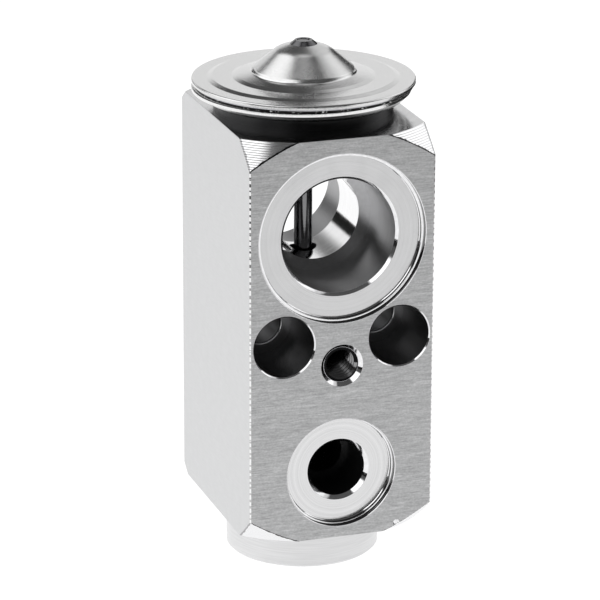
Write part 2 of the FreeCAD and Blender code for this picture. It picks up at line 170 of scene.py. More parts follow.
# Dome and plug as radius, height and fillet, above the rim and above the plug's seat
dome_line = [(8.7, 1.0, 0.5), (8.45, 1.6, 0.5), (4.5, 4.9, 4.0), (2.0, 5.71, 0)]
dome_radius = 8.6                     # inside it and above the next rise, the dome has its own finish
dome_foot_rise = 0.7
plug_line = [
    (0, -1.4, 0), (1.9, -1.4, 0.1), (1.9, 0, 0), (2.7, 0, 0), (1.6, 0.9, 0.15),
    (1.5, 1.0, 0.05), (1.15, 1.0, 0.1), (0.95, 0.85, 0.1), (0, 0.9, 0),
]
plug_seat = cover_rim_top + 5.278

# Dish under the cover, its neck and the weld between dish and cover
dish_sheet = 0.5
dish_edge_round = 0.12
dish_edge_drop = 0.5                  # its outer edge lies lower than its flat
dish_lip = (0.35, 0.1)                # width and fillet
dish_flat = (17.75, 0.4)              # radius and fillet
dish_floor = (16.5, 2.0)
dish_hole_radius = 9.6
dish_trim_start = 17.5                # outside it the flange is trimmed smaller and off centre
dish_trim = 0.4
dish_shade_radius = 15.6            # under its flange the dish is painted lighter, further in it is painted dark, as shade under the head
neck_radius = 15.0
neck_overlap = 0.5                    # how far the neck ring reaches into the collar
weld_bead_radius = 18.25              # at its foot, it slopes in upwards
weld_bead_slope = 0.1
weld_root_depth = 0.6
weld_foot_lift = 0.12                 # above the edge of the dish
weld_overlap = 0.05                   # how far it reaches into the cover
weld_waver = 0.03
weld_steps = 480

# Camera, solved from the photo's straight edges and circles
# Target and distance are in metres, angles in degrees, lens and sensor in millimetres
CAMERA_TARGET = (0, -0.001757, 0.0435)
CAMERA_DISTANCE = 0.64479
CAMERA_AZIMUTH = -18.6392
CAMERA_ELEVATION = 18.6102
CAMERA_ROLL = 0.2323
CAMERA_LENS = 229.1
CAMERA_SENSOR = 36
CAMERA_SHIFT = (-0.00997, 0.0051)

# Studio
FLOOR_GLOW = 0.95
FLOOR_SIZE = 6
# Soft boxes: direction, half width and soft edge in degrees, brightness
SOFT_BOXES = [
    ((-0.756, 0.252, 0.605), 35, 4, 1.5),
    ((-0.66, -0.45, 0.6), 20, 3, 1.5),
    ((0.879, 0.103, 0.465), 22, 10, 1.3),
    ((0.85, 0.3, 0.43), 41, 4, 0.75),
    ((0.05, 0.1, 0.99), 12, 3, 0.8),
    ((0.62, 0.57, 0.54), 14, 3, 0.9),
]
BLACK_FLAG = ((0.75, 0.65, 0.08), 19, 2)
BLACK_FLAG_GLOW = 0.02
# Black cards, seen only in reflections: radius, lowest and highest edge in mm, first angle and width
BLACK_CARDS = [
    (140, 30, 62, -15, 95),
    (500, 0, 80, 195, 105),
    (500, 52, 165, 95, 45),
]
HORIZON_GLOW = 0.95
CEILING_GLOW = 0.09
HORIZON_TOP = (0.33, 0.46)       # sines of the elevations between which the horizon light fades
HORIZON_FRONT = (-0.35, 0.1)     # it fades towards the front, the dark side of the room


def deselect():
    bpy.ops.object.select_all(action="DESELECT")


def choose(piece):
    """Makes one piece the selected and active object."""
    deselect()
    piece.select_set(True)
    bpy.context.view_layer.objects.active = piece


def turned(name, profile, steps=192, angle=FULL_TURN):
    """Surface of revolution about Z through (radius, height) points, closed on the axis."""
    deselect()
    bpy.ops.mesh.primitive_circle_add(vertices=3, radius=1, location=(0, 0, 0))
    piece = bpy.context.object
    piece.name = name
    bpy.ops.object.mode_set(mode="EDIT")
    bpy.ops.mesh.merge(type="CENTER")
    bpy.ops.transform.translate(value=(profile[0][0], 0, profile[0][1]))
    for (radius, height), (next_radius, next_height) in zip(profile, profile[1:]):
        step = (next_radius - radius, 0, next_height - height)
        bpy.ops.mesh.extrude_vertices_move(TRANSFORM_OT_translate={"value": step})
    bpy.ops.mesh.select_all(action="SELECT")
    bpy.ops.mesh.spin(steps=steps, angle=angle, center=(0, 0, 0), axis=(0, 0, 1))
    bpy.ops.mesh.select_all(action="SELECT")
    bpy.ops.mesh.remove_doubles(threshold=SAME_PLACE)
    bpy.ops.mesh.normals_make_consistent(inside=False)
    bpy.ops.object.mode_set(mode="OBJECT")
    return piece


def aim(piece, place, into):
    """Turns a piece made about Z so that its Z runs from place along +Y or -Y, and fixes it there."""
    choose(piece)
    piece.location = place
    piece.rotation_euler = (math.radians(-90 if into > 0 else 90), 0, 0)
    bpy.ops.object.transform_apply(location=True, rotation=True, scale=True)
    return piece


def paint(piece, finish):
    piece.data.materials.clear()
    piece.data.materials.append(finish)
    return piece


def join_shape(body, tool, operation="DIFFERENCE"):
    """Cuts, joins or intersects a body with a tool, which is used up and leaves its finish."""
    choose(body)
    bpy.ops.object.modifier_add(type="BOOLEAN")
    boolean = body.modifiers[-1]
    boolean.operation = operation
    boolean.object = tool
    boolean.solver = "EXACT"
    boolean.use_self = True
    boolean.material_mode = "TRANSFER"
    bpy.ops.object.modifier_apply(modifier=boolean.name)
    bpy.data.objects.remove(tool)
    return body


def together(pieces):
    """Several pieces as one object."""
    choose(pieces[0])
    for piece in pieces:
        piece.select_set(True)
    bpy.ops.object.join()
    return pieces[0]


def zone(piece, finish, low, high, inner=0.0, outer=math.inf):
    """Gives a finish to the faces whose middle lies between two heights and two radii."""
    piece.data.materials.append(finish)
    number = len(piece.data.materials) - 1
    for face in piece.data.polygons:
        radius = face.center.xy.length
        if low < face.center.z < high and inner < radius < outer:
            face.material_index = number
    return piece


def finish_piece(piece, body, slot, *nodes, smooth=25):
    """Brings a piece from millimetres to metres, smooths it and puts it in the frame."""
    choose(piece)
    piece.scale = (1 / TO_MM,) * 3
    bpy.ops.object.transform_apply(location=True, rotation=True, scale=True)
    bpy.ops.object.shade_smooth_by_angle(angle=math.radians(smooth))
    bpy.ops.object.modifier_add(type="WEIGHTED_NORMAL")
    flatten = piece.modifiers[-1]
    flatten.keep_sharp = True
    bpy.ops.object.modifier_apply(modifier=flatten.name)
    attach(piece, body)
    if nodes:
        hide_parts(*nodes)
    return piece


def rounded(corners, count=5):
    """Points along (radius, height, fillet) corners, each fillet as a short arc."""
    points = [corners[0][:2]]
    for before, corner, after in zip(corners, corners[1:], corners[2:]):
        if not corner[2]:
            points.append(corner[:2])
            continue
        tip = Vector(corner[:2])
        back = (Vector(before[:2]) - tip).normalized()
        ahead = (Vector(after[:2]) - tip).normalized()
        half = back.angle(ahead) / 2
        reach = corner[2] / math.tan(half)
        centre = tip + (back + ahead).normalized() * (corner[2] / math.sin(half))
        first = tip + back * reach - centre
        turn = first.angle_signed(tip + ahead * reach - centre)
        for number in range(count + 1):
            spoke = first.copy()
            spoke.rotate(Matrix.Rotation(-turn * number / count, 2))
            points.append(tuple(centre + spoke))
    points.append(corners[-1][:2])
    return points


def grooved(start, end):
    """Points along a line with narrow turning grooves."""
    line = Vector(end) - Vector(start)
    across = Vector((-line.y, line.x)).normalized()
    count = round(line.length / groove_pitch)
    step = line / count
    points = [tuple(start)]
    for number in range(count):
        foot = Vector(start) + step * number
        points.append(tuple(foot + step * 0.7))
        points.append(tuple(foot + step * 0.85 + across * groove_depth))
        points.append(tuple(foot + step))
    return points


def thread_cutter():
    """Helical groove of the flange thread, about Z."""
    inside = thread_core - thread_overlap
    half_flat = thread_pitch / 16    # the groove's floor is an eighth of the pitch wide
    half_mouth = thread_pitch / 2 - half_flat
    section = [
        (inside, -half_mouth),
        (thread_crest, -half_flat),
        (thread_crest, half_flat),
        (inside, half_mouth),
    ]
    deselect()
    bpy.ops.mesh.primitive_circle_add(vertices=4, radius=1, fill_type="NGON", location=(0, 0, 0))
    cutter = bpy.context.object
    cutter.name = "flange_thread"
    for corner, (radius, height) in zip(cutter.data.vertices, section):
        corner.co = (radius, 0, thread_lead_in + height)
    bpy.ops.object.modifier_add(type="SCREW")
    screw = cutter.modifiers[-1]
    screw.axis = "Z"
    screw.screw_offset = thread_pitch
    screw.iterations = thread_turns
    screw.steps = 40
    screw.render_steps = 40
    screw.use_merge_vertices = False
    bpy.ops.object.modifier_apply(modifier=screw.name)
    bpy.ops.object.mode_set(mode="EDIT")
    bpy.ops.mesh.select_all(action="SELECT")
    bpy.ops.mesh.remove_doubles(threshold=SAME_PLACE)
    bpy.ops.mesh.select_all(action="DESELECT")
    bpy.ops.mesh.select_non_manifold()
    bpy.ops.mesh.fill_holes(sides=0)
    bpy.ops.mesh.select_all(action="SELECT")
    bpy.ops.mesh.normals_make_consistent(inside=False)
    bpy.ops.object.mode_set(mode="OBJECT")
    return cutter


# Finishes

class Finish:
    """A bare metal finish whose tone, gloss and relief are built up from layers."""

    def __init__(self, name, tone, roughness, metallic=1.0):
        self.material = bpy.data.materials.new(name)
        self.material.use_nodes = True
        self.tree = self.material.node_tree
        self.shader = self.tree.nodes["Principled BSDF"]
        self.shader.inputs["Base Color"].default_value = (*tone, 1)
        self.shader.inputs["Roughness"].default_value = roughness
        self.shader.inputs["Metallic"].default_value = metallic
        self.place = self.node("ShaderNodeTexCoord").outputs["Object"]
        self.tone = self.constant_colour(tone)
        self.gloss = None
        self.roughness = roughness
        self.relief = None

    def node(self, kind, **settings):
        made = self.tree.nodes.new(kind)
        for key, value in settings.items():
            setattr(made, key, value)
        return made

    def link(self, output, socket):
        self.tree.links.new(output, socket)

    def constant_colour(self, tone):
        colour = self.node("ShaderNodeRGB")
        colour.outputs[0].default_value = (*tone, 1)
        return colour.outputs[0]

    def combine(self, operation, first, second):
        made = self.node("ShaderNodeMath", operation=operation)
        for socket, value in zip(made.inputs, (first, second)):
            if isinstance(value, (int, float)):
                socket.default_value = value
            else:
                self.link(value, socket)
        return made.outputs[0]

    def mapped(self, centre=(0, 0, 0), scale=(1, 1, 1), turn=(0, 0, 0)):
        """Object coordinates in millimetres about a centre, turned by degrees and stretched."""
        moved = self.node("ShaderNodeMapping", vector_type="POINT")
        self.link(self.place, moved.inputs["Vector"])
        moved.inputs["Scale"].default_value = (TO_MM,) * 3
        moved.inputs["Location"].default_value = [-value for value in centre]
        shaped = self.node("ShaderNodeMapping", vector_type="POINT")
        self.link(moved.outputs[0], shaped.inputs["Vector"])
        shaped.inputs["Rotation"].default_value = [math.radians(value) for value in turn]
        shaped.inputs["Scale"].default_value = scale
        return shaped.outputs[0]

    def noise(self, vector, detail=2.0, distortion=0.0):
        made = self.node("ShaderNodeTexNoise")
        self.link(vector, made.inputs["Vector"])
        made.inputs["Scale"].default_value = 1.0
        made.inputs["Detail"].default_value = detail
        made.inputs["Distortion"].default_value = distortion
        return made.outputs["Fac"]

    def distance(self, centre, axis):
        """Distance in millimetres from a line through centre along an axis, 0, 1 or 2."""
        flat = [0 if number == axis else 1 for number in range(3)]
        length = self.node("ShaderNodeVectorMath", operation="LENGTH")
        self.link(self.mapped(centre, scale=flat), length.inputs[0])
        return length.outputs["Value"]

    def line_noise(self, along, scale, detail=3.0):
        made = self.node("ShaderNodeTexNoise", noise_dimensions="1D")
        self.link(along, made.inputs["W"])
        made.inputs["Scale"].default_value = scale
        made.inputs["Detail"].default_value = detail
        return made.outputs["Fac"]

    def ranged(self, value, start, end, low, high):
        """Takes a value from one range to another and no further."""
        made = self.node("ShaderNodeMapRange")
        self.link(value, made.inputs["Value"])
        for key, number in zip(("From Min", "From Max", "To Min", "To Max"), (start, end, low, high)):
            made.inputs[key].default_value = number
        return made.outputs[0]

    def spread(self, noise, low, high):
        """The middle of a noise, spread to a range."""
        return self.ranged(noise, 0.3, 0.7, low, high)

    def step(self, factor, low, high):
        """A factor from 0 to 1, taken to a range."""
        return self.ranged(factor, 0, 1, low, high)

    def shade_by(self, factor):
        """Multiplies the tone by a grey factor."""
        made = self.node("ShaderNodeVectorMath", operation="SCALE")
        self.link(self.tone, made.inputs[0])
        self.link(factor, made.inputs["Scale"])
        self.tone = made.outputs[0]

    def gloss_by(self, value, low, high):
        spread = self.spread(value, low, high)
        self.gloss = spread if self.gloss is None else self.combine("ADD", self.gloss, spread)

    def raise_by(self, height, depth_mm):
        lift = self.combine("MULTIPLY", height, depth_mm / TO_MM)
        self.relief = lift if self.relief is None else self.combine("ADD", self.relief, lift)

    def done(self):
        self.link(self.tone, self.shader.inputs["Base Color"])
        if self.gloss is not None:
            total = self.combine("ADD", self.gloss, self.roughness)
            self.link(total, self.shader.inputs["Roughness"])
        if self.relief is not None:
            bump = self.node("ShaderNodeBump")
            bump.inputs["Strength"].default_value = 1.0
            bump.inputs["Distance"].default_value = 1.0
            self.link(self.relief, bump.inputs["Height"])
            self.link(bump.outputs["Normal"], self.shader.inputs["Normal"])
        return self.material


def milled_finish(name, tone):
    """Face milled across: fine, slightly wavy lines along X."""
    finish = Finish(name, tone, 0.36)
    fine = finish.mapped(turn=(0, 3, 0), scale=(0.5, 1, 6))
    lines = finish.noise(fine, detail=4, distortion=0.5)
    wide = finish.mapped(turn=(0, 9, 0), scale=(0.14, 1, 2.6))
    sweeps = finish.noise(wide, detail=4, distortion=0.6)
    specks = finish.noise(finish.mapped(scale=(3, 3, 4)), detail=3)
    finish.shade_by(finish.spread(lines, 0.78, 1.18))
    finish.shade_by(finish.spread(sweeps, 0.9, 1.08))
    finish.shade_by(finish.spread(specks, 0.86, 1.1))
    finish.gloss_by(lines, -0.04, 0.04)
    finish.raise_by(lines, 0.01)
    return finish.done()


def side_finish(name, tone):
    """Drawn bar surface: soft mottling and faint slanted marks."""
    finish = Finish(name, tone, 0.42)
    mottle = finish.noise(finish.mapped(scale=(0.5, 0.5, 0.5)), detail=5)
    marks = finish.noise(finish.mapped(turn=(-38, 0, 0), scale=(1, 0.35, 3.5)), detail=4)
    finish.shade_by(finish.spread(mottle, 0.96, 1.03))
    finish.shade_by(finish.spread(marks, 0.98, 1.02))
    finish.gloss_by(mottle, -0.04, 0.05)
    finish.raise_by(mottle, 0.012)
    finish.raise_by(marks, 0.006)
    return finish.done()


def turned_finish(name, tone, centre, axis, roughness=0.25, pitch=0.2):
    """Turned surface: fine rings about an axis."""
    finish = Finish(name, tone, roughness)
    radius = finish.distance(centre, axis)
    rings = finish.line_noise(radius, 1 / pitch)
    wide = finish.line_noise(radius, 0.35 / pitch, detail=1)
    cloud = finish.noise(finish.mapped(scale=(0.35, 0.35, 0.35)), detail=3)
    finish.shade_by(finish.spread(rings, 0.95, 1.04))
    finish.shade_by(finish.spread(wide, 0.97, 1.02))
    finish.gloss_by(cloud, -0.03, 0.05)
    finish.raise_by(rings, 0.004)
    return finish.done()


def bored_finish(name, tone, axis, roughness):
    """Bored wall: fine feed lines along the bore."""
    finish = Finish(name, tone, roughness)
    scale = [0.15, 0.15, 0.15]
    scale[axis] = 5.0
    lines = finish.noise(finish.mapped(scale=scale), detail=3)
    finish.shade_by(finish.spread(lines, 0.94, 1.05))
    finish.raise_by(lines, 0.006)
    return finish.done()


def corner_finish(name, tone):
    """Corner turned on a lathe: bright, with painted shade as a dark line where it meets the flat
    faces.
    """
    finish = Finish(name, tone, 0.14)
    place = finish.node("ShaderNodeSeparateXYZ")
    finish.link(finish.mapped(), place.inputs[0])
    waver = finish.noise(finish.mapped(scale=(1.2, 1.2, 1.2)), detail=3)
    reach = finish.spread(waver, 0.16, 0.36)
    from_front = finish.combine("SUBTRACT", place.outputs["Y"], front_face)
    # painted shade: a dark line on the cone along the front face
    finish.shade_by(finish.step(finish.combine("LESS_THAN", from_front, reach), 1, 0.04))
    from_axis = finish.combine("ABSOLUTE", place.outputs["X"], 0)
    from_side = finish.combine("SUBTRACT", half_width, from_axis)
    # painted shade: a fainter dark line on the cone along the side faces
    finish.shade_by(finish.step(finish.combine("LESS_THAN", from_side, reach), 1, 0.45))
    return finish.done()


def burr_and_notch_shade_finish(name, tone):
    """Rough edge left by the milling cutter: bright, with painted shade of its notches as dark ticks
    along Z, closer to the top.
    """
    finish = Finish(name, tone, 0.3)
    place = finish.node("ShaderNodeSeparateXYZ")
    finish.link(finish.mapped(), place.inputs[0])
    waver = finish.line_noise(place.outputs["Z"], 0.3, detail=2)
    along = finish.combine("ADD", place.outputs["Z"], waver)
    wave = finish.combine("SINE", finish.combine("MULTIPLY", along, FULL_TURN / notch_shade_pitch), 0)
    grain = finish.line_noise(place.outputs["Z"], 3.0, detail=2)
    rough_wave = finish.combine("ADD", wave, finish.spread(grain, -0.9, 0.9))
    # painted shade: dark ticks for the shaded sides of the burr's notches, stronger towards the top
    deep = finish.combine("GREATER_THAN", rough_wave, 0.35)
    high = finish.ranged(place.outputs["Z"], suction_height - notch_shade_fade, suction_height, 0, 1)
    faint = finish.combine("MULTIPLY", deep, finish.step(high, 0.4, 0.9))
    finish.shade_by(finish.step(faint, 1, 0))
    return finish.done()


def satin_finish(name, tone, roughness, grain=7.0):
    """Pressed steel with a fine satin grain."""
    finish = Finish(name, tone, roughness)
    fine = finish.noise(finish.mapped(scale=(grain,) * 3), detail=3)
    cloud = finish.noise(finish.mapped(scale=(0.5, 0.5, 0.5)), detail=3)
    finish.shade_by(finish.spread(fine, 0.9, 1.08))
    finish.shade_by(finish.spread(cloud, 0.96, 1.04))
    finish.gloss_by(cloud, -0.03, 0.04)
    finish.raise_by(fine, 0.012)
    return finish.done()


def weld_and_groove_shade_finish(name, tone):
    """Burnt weld: dark, and darker still as painted shade of its groove, with a few bright specks."""
    finish = Finish(name, tone, 0.3)
    specks = finish.noise(finish.mapped(scale=(2.2,) * 3), detail=3)
    # painted shade: all but the specks goes almost black
    finish.shade_by(finish.step(finish.combine("GREATER_THAN", specks, 0.62), 0.03, 1))
    finish.raise_by(specks, 0.1)
    return finish.done()


def plain_finish(name, tone, roughness, metallic=1.0):
    """Even metal or rubber with a light grain."""
    finish = Finish(name, tone, roughness, metallic)
    cloud = finish.noise(finish.mapped(scale=(1.5, 1.5, 1.5)), detail=4)
    finish.shade_by(finish.spread(cloud, 0.93, 1.06))
    finish.gloss_by(cloud, -0.04, 0.06)
    finish.raise_by(cloud, 0.004)
    return finish.done()


milled = milled_finish("milled_face", (0.45, 0.452, 0.456))
drawn = side_finish("drawn_side", (0.64, 0.643, 0.648))
burr_and_notch_shade = burr_and_notch_shade_finish("burred_edge", (0.9, 0.9, 0.9))
cone_turned = corner_finish("turned_corner", (0.82, 0.82, 0.83))
spigot_turned = bored_finish("turned_spigot", (0.69, 0.69, 0.695), 2, 0.3)
top_turned = turned_finish("faced_top", (0.55, 0.55, 0.555), (0, 0, 0), 2, 0.12, 0.25)
suction_turned = turned_finish("suction_seat", (0.57, 0.57, 0.575), (0, 0, suction_height), 1, 0.18)
liquid_turned = turned_finish("liquid_seat", (0.68, 0.68, 0.685), (0, 0, liquid_height), 1, 0.18)
feed_turned = turned_finish("feed_seat", (0.68, 0.68, 0.685), (0, 0, feed_height), 1, 0.18)
# Painted shade: the recess walls, the bores, the galleries, the thread and the screw holes get dark
# tones for the shade inside them.
recess_wall = plain_finish("recess_wall", (0.14, 0.14, 0.14), 0.08)
bored = bored_finish("bored_wall", (0.33, 0.33, 0.335), 1, 0.32)
web_wall = bored_finish("web_wall", (0.86, 0.86, 0.865), 1, 0.1)
liquid_bore = bored_finish("liquid_bore", (0.02, 0.02, 0.021), 1, 0.8)
thread_flank = plain_finish("thread_flank", (0.26, 0.26, 0.265), 0.15)
deep_bore = bored_finish("deep_bore", (0.25, 0.25, 0.255), 1, 0.3)
bright_edge = plain_finish("bright_edge", (0.8, 0.8, 0.81), 0.07)
shoulder = plain_finish("bore_shoulder", (0.85, 0.85, 0.86), 0.05)
head_steel = satin_finish("satin_steel", (0.68, 0.68, 0.68), 0.15)
dome_steel = satin_finish("dome_steel", (0.66, 0.66, 0.66), 0.24, grain=9.0)
# Painted shade and highlight: the dish under the head is painted half dark under its flange and
# bright at its lip.
flange_steel_painted_shade = satin_finish("flange_underside", (0.5, 0.5, 0.5), 0.2)
lip_steel_painted_highlight = satin_finish("rim_lip", (0.8, 0.8, 0.8), 0.15)
# Painted shade: the weld's dark tone also stands for the shade of its groove.
weld_and_groove_shade_steel = weld_and_groove_shade_finish("weld_bead", (0.5, 0.5, 0.5))
plug_steel = plain_finish("plug_steel", (0.13, 0.13, 0.135), 0.22)
rod_steel = bored_finish("polished_rod", (0.2, 0.2, 0.205), 2, 0.12)
retainer_steel = plain_finish("retainer_steel", (0.8, 0.8, 0.81), 0.4)
# Painted shade: near-black steel under the head, for the dish and the collar.
dark_steel = plain_finish("dark_steel", (0.12, 0.12, 0.122), 0.3)
# Painted shade: near-black ring in the gap under the dish.
neck_steel = plain_finish("neck_steel", (0.04, 0.04, 0.041), 0.35)
turned_steel = turned_finish("turned_steel", (0.6, 0.6, 0.61), (0, 0, 0), 2)
spring_steel = plain_finish("spring_steel", (0.5, 0.5, 0.52), 0.25)
rubber = plain_finish("seal_rubber", (0.02, 0.02, 0.022), 0.5, metallic=0.0)
screw_turned = turned_finish("screw_aluminium", (0.7, 0.7, 0.71), (0, 0, 0), 2)


# Block

def bar():
    """The drawn bar that the block is cut from, with its milled and its drawn faces."""
    deselect()
    bpy.ops.mesh.primitive_cube_add(size=1, location=(0, 0, 0))
    block = bpy.context.object
    block.name = "milled_block"
    block.location = (0, (front_face + back_face) / 2, (spigot_height + block_top) / 2)
    block.scale = (2 * half_width, back_face - front_face, block_top - spigot_height)
    bpy.ops.object.transform_apply(location=True, rotation=True, scale=True)
    corners = block.data.vertices
    bpy.ops.object.mode_set(mode="EDIT")
    bpy.ops.mesh.select_all(action="DESELECT")
    bpy.ops.mesh.select_mode(type="EDGE")
    bpy.ops.object.mode_set(mode="OBJECT")
    for edge in block.data.edges:
        ends = [corners[number].co for number in edge.vertices]
        edge.select = all(end.y < 0 for end in ends) and ends[0].x == ends[1].x
    bpy.ops.object.mode_set(mode="EDIT")
    bpy.ops.mesh.bevel(offset=burr_width, segments=1)
    bpy.ops.mesh.select_mode(type="VERT")
    bpy.ops.mesh.select_all(action="SELECT")
    bpy.ops.mesh.bevel(offset=edge_break, segments=1)
    bpy.ops.object.mode_set(mode="OBJECT")
    for finish in (drawn, milled, top_turned, burr_and_notch_shade):
        block.data.materials.append(finish)
    for face in block.data.polygons:
        if abs(face.normal.y) > 0.9:
            face.material_index = 1
        if abs(face.normal.z) > 0.9:
            face.material_index = 2
        if face.normal.y < -0.6 and abs(face.normal.x) > 0.6:
            face.material_index = 3
    return block


def corner_envelope():
    """Body whose grooved cones turn the block's eight corners."""
    slope = math.tan(corner_turn_angle)
    low_edge = spigot_height + (corner_reach - corner_turn_bottom) / slope
    high_edge = block_top - (corner_reach - corner_turn_top) / slope
    under = spigot_height - OVERCUT
    above = block_top + OVERCUT
    profile = [(0, under), (corner_turn_bottom - OVERCUT * slope, under)]
    profile += grooved((corner_turn_bottom, spigot_height), (corner_reach, low_edge))
    profile += grooved((corner_reach, high_edge), (corner_turn_top, block_top))
    profile += [(corner_turn_top - OVERCUT * slope, above), (0, above)]
    return paint(turned("corner_envelope", profile, 256), cone_turned)


def port_profile(recess, bore):
    """Half outline of a port from outside its face down its bore, as (radius, depth) points."""
    recess_radius, recess_taper, recess_depth = recess
    bore_radius, bore_chamfer, bore_depth = bore
    mouth_radius = recess_radius + edge_round
    corners = [(0, -OVERCUT, 0), (mouth_radius, -OVERCUT, 0), (mouth_radius, 0, 0)]
    for number in range(recess_steps):
        radius = recess_radius - recess_taper * number / (recess_steps - 1)
        corners.append((radius, recess_depth * number / recess_steps, edge_round))
        corners.append((radius, recess_depth * (number + 1) / recess_steps, 0))
    corners[-1] = (radius, recess_depth - edge_round, 0)
    corners += [
        (radius - edge_round, recess_depth, 0),
        (bore_radius + bore_chamfer, recess_depth, edge_round / 2),
        (bore_radius, recess_depth + bore_chamfer, 0),
        (bore_radius, bore_depth, 0),
    ]
    return rounded(corners, 3)


def port_zones(cutter, recess, bore, seat_finish, face_at=0, into=1):
    """Finishes of a port's edges, walls and seat ring."""
    recess_depth = recess[2]
    bore_radius, bore_chamfer, bore_depth = bore
    chamfer_end = recess_depth + bore_chamfer
    step_depth = recess_depth / recess_steps

    def span(start, end):
        return sorted((face_at + into * start, face_at + into * end))

    zone(cutter, bright_edge, *span(-OVERCUT, recess_depth - HAIR), inner=bore_radius)
    for number in range(recess_steps):
        start = step_depth * number + edge_round
        end = start + step_depth - 2 * edge_round
        # the recess walls get the dark tone of painted shade
        zone(cutter, recess_wall, *span(start + HAIR, end), inner=bore_radius)
    zone(cutter, seat_finish, *span(recess_depth - HAIR, recess_depth + HAIR), inner=bore_radius)
    zone(cutter, bright_edge, *span(recess_depth + HAIR, chamfer_end), inner=bore_radius - HAIR)
    zone(cutter, shoulder, *span(bore_depth - HAIR, bore_depth + HAIR))
    return cutter


# unless told otherwise, a hole's walls get the dark tone of painted shade
def hole_cutter(profile, steps, finish=bored):
    return paint(turned("hole_cutter", profile, steps), finish)


def suction_cutter(depth):
    """Large passage from the front face right through to the back face."""
    front_end = suction_bore[2]
    back_end = depth - suction_bore_depth_back
    back_bore = (*suction_bore[:2], suction_bore_depth_back)
    front = port_profile(suction_recess, suction_bore)
    back = [(radius, depth - height) for radius, height in port_profile(suction_recess, back_bore)]
    web = [(suction_web_radius, front_end), (suction_web_radius, back_end)]
    cutter = hole_cutter(front + web + back[::-1], 128)
    zone(cutter, web_wall, front_end, back_end)
    port_zones(cutter, suction_recess, suction_bore, suction_turned)
    return port_zones(cutter, suction_recess, back_bore, suction_turned, depth, -1)


def small_port_cutter(gallery_radius, reach, seat_finish):
    """Small port with the gallery that runs on from it."""
    gallery = [(gallery_radius, small_bore[2]), (gallery_radius, reach), (0, reach)]
    cutter = hole_cutter(port_profile(small_recess, small_bore) + gallery, 96, liquid_bore)
    return port_zones(cutter, small_recess, small_bore, seat_finish)


def axis_cutter():
    """Everything bored along the valve axis."""
    lead_in = screw_bore_radius - chamber_radius
    bore_radius, bore_depth = neck_bore
    seal_radius, seal_depth = head_groove
    return hole_cutter([
        (0, -OVERCUT),
        (screw_bore_radius + screw_bore_chamfer, -OVERCUT),
        (screw_bore_radius + screw_bore_chamfer, 0),
        (screw_bore_radius, screw_bore_chamfer),
        (screw_bore_radius, screw_bore_depth),
        (chamber_radius, screw_bore_depth + lead_in),
        (chamber_radius, chamber_top),
        (rod_hole_radius, chamber_top),
        (rod_hole_radius, suction_height),
        (head_opening_radius, suction_height),
        (head_opening_radius, block_top - bore_depth),
        (bore_radius, block_top - bore_depth),
        (bore_radius, block_top - seal_depth),
        (seal_radius, block_top - seal_depth),
        (seal_radius, block_top + OVERCUT),
        (0, block_top + OVERCUT),
    ], 128)


def screw_hole_cutter(depth):
    """Clamping screw hole: deep counterbore in front, clearance hole to the back."""
    cutter = hole_cutter(rounded([
        (0, -OVERCUT, 0),
        (screw_seat_radius + screw_seat_break, -OVERCUT, 0),
        (screw_seat_radius + screw_seat_break, 0, 0),
        (screw_seat_radius, screw_seat_break, 0),
        (screw_seat_radius, screw_seat_depth, 0),
        (screw_hole_radius, screw_seat_depth, screw_hole_break),
        (screw_hole_radius, depth + OVERCUT, 0),
        (0, depth + OVERCUT, 0),
    ]), 96, deep_bore)
    zone(cutter, bright_edge, -OVERCUT, screw_seat_break)
    return zone(cutter, bright_edge, screw_seat_depth + HAIR, screw_seat_depth + screw_hole_break)


def thread_hole_cutter():
    """Flange thread: countersink, core and drill point, with the thread's groove."""
    sink_depth = thread_sink - thread_crest
    hole = hole_cutter([
        (0, -OVERCUT),
        (thread_sink, -OVERCUT),
        (thread_sink, 0),
        (thread_crest, sink_depth),
        (thread_crest, thread_lead_in - thread_lead_cone),
        (thread_core, thread_lead_in),
        (thread_core, thread_depth),
        (0, thread_depth + thread_core / math.tan(drill_point_angle)),
    ], 64, liquid_bore)
    zone(hole, bright_edge, -OVERCUT, sink_depth)
    return together([hole, paint(thread_cutter(), thread_flank)])


def nick_cutter():
    """Small dent in the front face."""
    profile = [(0, -OVERCUT), (nick_line[0][0], -OVERCUT)] + nick_line
    return paint(turned("nick", profile, 12), bright_edge)


def spigot():
    radius = spigot_radius
    return paint(turned("spigot", [
        (0, 0),
        (radius - spigot_chamfer, 0),
        (radius, spigot_chamfer),
        (radius, spigot_height - spigot_flare),
        (radius + spigot_flare, spigot_height),
        (radius + spigot_flare, spigot_height + OVERCUT),
        (0, spigot_height + OVERCUT),
    ]), spigot_turned)


def milled_block():
    block = join_shape(bar(), corner_envelope(), "INTERSECT")
    join_shape(block, spigot(), "UNION")
    depth = back_face - front_face
    cutters = [
        aim(suction_cutter(depth), (0, front_face, suction_height), 1),
        aim(small_port_cutter(liquid_gallery_radius, -front_face, liquid_turned),
            (0, front_face, liquid_height), 1),
        aim(small_port_cutter(feed_gallery_radius, back_face + feed_gallery_past_axis, feed_turned),
            (0, back_face, feed_height), -1),
        aim(thread_hole_cutter(), (0, front_face, thread_height), 1),
        aim(nick_cutter(), (nick_place[0], front_face, nick_place[1]), 1),
        axis_cutter(),
    ]
    for side in (-1, 1):
        place = (side * screw_seat.x, front_face, screw_seat.z)
        cutters.append(aim(screw_hole_cutter(depth), place, 1))
    join_shape(block, together(cutters))
    return finish_piece(block, "housing", "block_aluminium", "valve_block")


# Head

